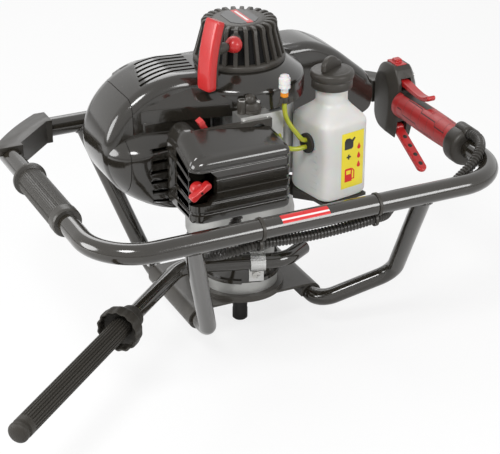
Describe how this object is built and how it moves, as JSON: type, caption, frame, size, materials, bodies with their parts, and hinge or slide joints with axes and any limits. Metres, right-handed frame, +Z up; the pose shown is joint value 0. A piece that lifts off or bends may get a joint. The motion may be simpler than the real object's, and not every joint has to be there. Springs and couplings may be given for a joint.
{
  "type": "earth auger",
  "caption": "Handheld petrol earth auger power head: engine and reduction gear case in a tube carrying frame with throttle grip, side support bar and a plain round output shaft.",
  "frame": {"origin": "output shaft axis at the shaft's lower end", "axes": "+Z up along the shaft axis, +X right along the front bar, +Y to the rear bar"},
  "size_m": [0.704, 0.5066, 0.4464],
  "materials": {
    "frame_paint": "satin black powder coat",
    "bracket_grey": "matte dark grey",
    "grip_rubber": "soft matte rubber",
    "handle_black": "textured black nylon",
    "cowl_gloss": "gloss black",
    "signal_red": "semi gloss red",
    "zinc": "zinc plated steel",
    "shaft_steel": "ground steel",
    "cast_alloy": "cast aluminium",
    "clutch_lining": "sintered iron",
    "plug_ceramic": "glazed white",
    "exhaust_steel": "heat-stained steel",
    "rope": "braided black cord",
    "foam": "open foam",
    "bottle_white": "translucent white",
    "fuel_tube": "clear yellow-green tube"
  },
  "bodies": {
    "frame": {"handle_loop": "frame_paint", "rear_bar": "frame_paint", "left_leg": "frame_paint", "right_leg": "frame_paint", "base_plate": "frame_paint", "support_bar": "frame_paint", "tank_bracket": "frame_paint", "gear_case_upper": "frame_paint", "corner_brackets": "bracket_grey", "left_grip": "grip_rubber", "support_grip": "grip_rubber", "hand_guard": "grip_rubber", "tank_grommet": "grip_rubber", "cable_ties": "grip_rubber", "cable_conduit": "grip_rubber", "throttle_housing_left": "handle_black", "throttle_housing_right": "handle_black", "throttle_end_cap": "handle_black", "ignition_coil": "handle_black", "filter_base": "handle_black", "fan_housing": "handle_black", "muffler_guard": "handle_black", "starter_housing": "handle_black", "engine_cowl": "cowl_gloss", "cowl_end_cap": "cowl_gloss", "filter_cover": "cowl_gloss", "throttle_grip": "signal_red", "rope_guide": "signal_red", "bar_clamp": "zinc", "machine_screws": "zinc", "bearings": "shaft_steel", "connecting_rod": "shaft_steel", "gear_case_lower": "cast_alloy", "clutch_housing": "cast_alloy", "crankcase": "cast_alloy", "piston": "cast_alloy", "cylinder": "cast_alloy", "carburetor": "cast_alloy", "spark_plug": "plug_ceramic", "muffler": "exhaust_steel", "filter_element": "foam", "fuel_bottle": "bottle_white", "vent_filter": "bottle_white", "fuel_lines": "fuel_tube"},
    "output": {"output_shaft": "shaft_steel", "output_gear": "shaft_steel"},
    "layshaft": {"layshaft": "shaft_steel"},
    "drum": {"clutch_drum": "shaft_steel"},
    "crank": {"crankshaft": "shaft_steel", "flywheel": "cast_alloy", "clutch_shoes": "clutch_lining"},
    "pulley": {"starter_pulley": "handle_black"},
    "pull_handle": {"starter_handle": "signal_red", "starter_rope": "rope"},
    "trigger": {"throttle_trigger": "signal_red"},
    "lever": {"lock_lever": "signal_red"},
    "switch": {"stop_switch": "signal_red"},
    "choke": {"choke_lever": "signal_red"},
    "knob": {"filter_knob": "signal_red"},
    "cap": {"fuel_cap": "cowl_gloss"}
  },
  "joints": [
    {"name": "output_spin", "type": "hinge", "parent": "frame", "child": "output", "pos_m": [0, 0, 0.07], "axis": [0, 0, 1], "continuous": true},
    {"name": "layshaft_spin", "type": "hinge", "parent": "frame", "child": "layshaft", "pos_m": [0, 0.0525, 0.08], "axis": [0, 0, 1], "continuous": true},
    {"name": "drum_spin", "type": "hinge", "parent": "frame", "child": "drum", "pos_m": [0, 0, 0.12], "axis": [0, 0, 1], "continuous": true},
    {"name": "crank_spin", "type": "hinge", "parent": "frame", "child": "crank", "pos_m": [0, 0, 0.283], "axis": [0, 0, 1], "continuous": true},
    {"name": "pulley_spin", "type": "hinge", "parent": "frame", "child": "pulley", "pos_m": [0, 0, 0.386], "axis": [0, 0, 1], "range_deg": [0, 1065.97]},
    {"name": "handle_pull", "type": "slide", "parent": "frame", "child": "pull_handle", "axis": [-0.9671, -0.2545, 0], "range_m": [0, 0.6]},
    {"name": "trigger_squeeze", "type": "hinge", "parent": "frame", "child": "trigger", "pos_m": [0.265, 0.058, 0.202], "axis": [-1, 0, 0], "range_deg": [0, 20], "stiffness_Nm_per_rad": 0.3},
    {"name": "lock_press", "type": "hinge", "parent": "frame", "child": "lever", "pos_m": [0.269, 0.055, 0.268], "axis": [1, 0, 0], "range_deg": [0, 7], "stiffness_Nm_per_rad": 0.3},
    {"name": "switch_slide", "type": "slide", "parent": "frame", "child": "switch", "axis": [0, 1, 0], "range_m": [0, 0.006]},
    {"name": "choke_turn", "type": "hinge", "parent": "frame", "child": "choke", "pos_m": [-0.084, -0.0976, 0.315], "axis": [0, 1, 0], "range_deg": [0, 45]},
    {"name": "knob_turn", "type": "hinge", "parent": "frame", "child": "knob", "pos_m": [-0.121, -0.139, 0.273], "axis": [0, -1, 0], "continuous": true},
    {"name": "cap_turn", "type": "hinge", "parent": "frame", "child": "cap", "pos_m": [0.082, -0.088, 0.355], "axis": [0, 0, 1], "continuous": true}
  ],
  "couplings": [
    {"joint": "layshaft_spin", "follows": "output_spin", "ratio": -4},
    {"joint": "drum_spin", "follows": "output_spin", "ratio": 16},
    {"joint": "handle_pull", "follows": "pulley_spin", "m_per_rad": 0.03225}
  ]
}
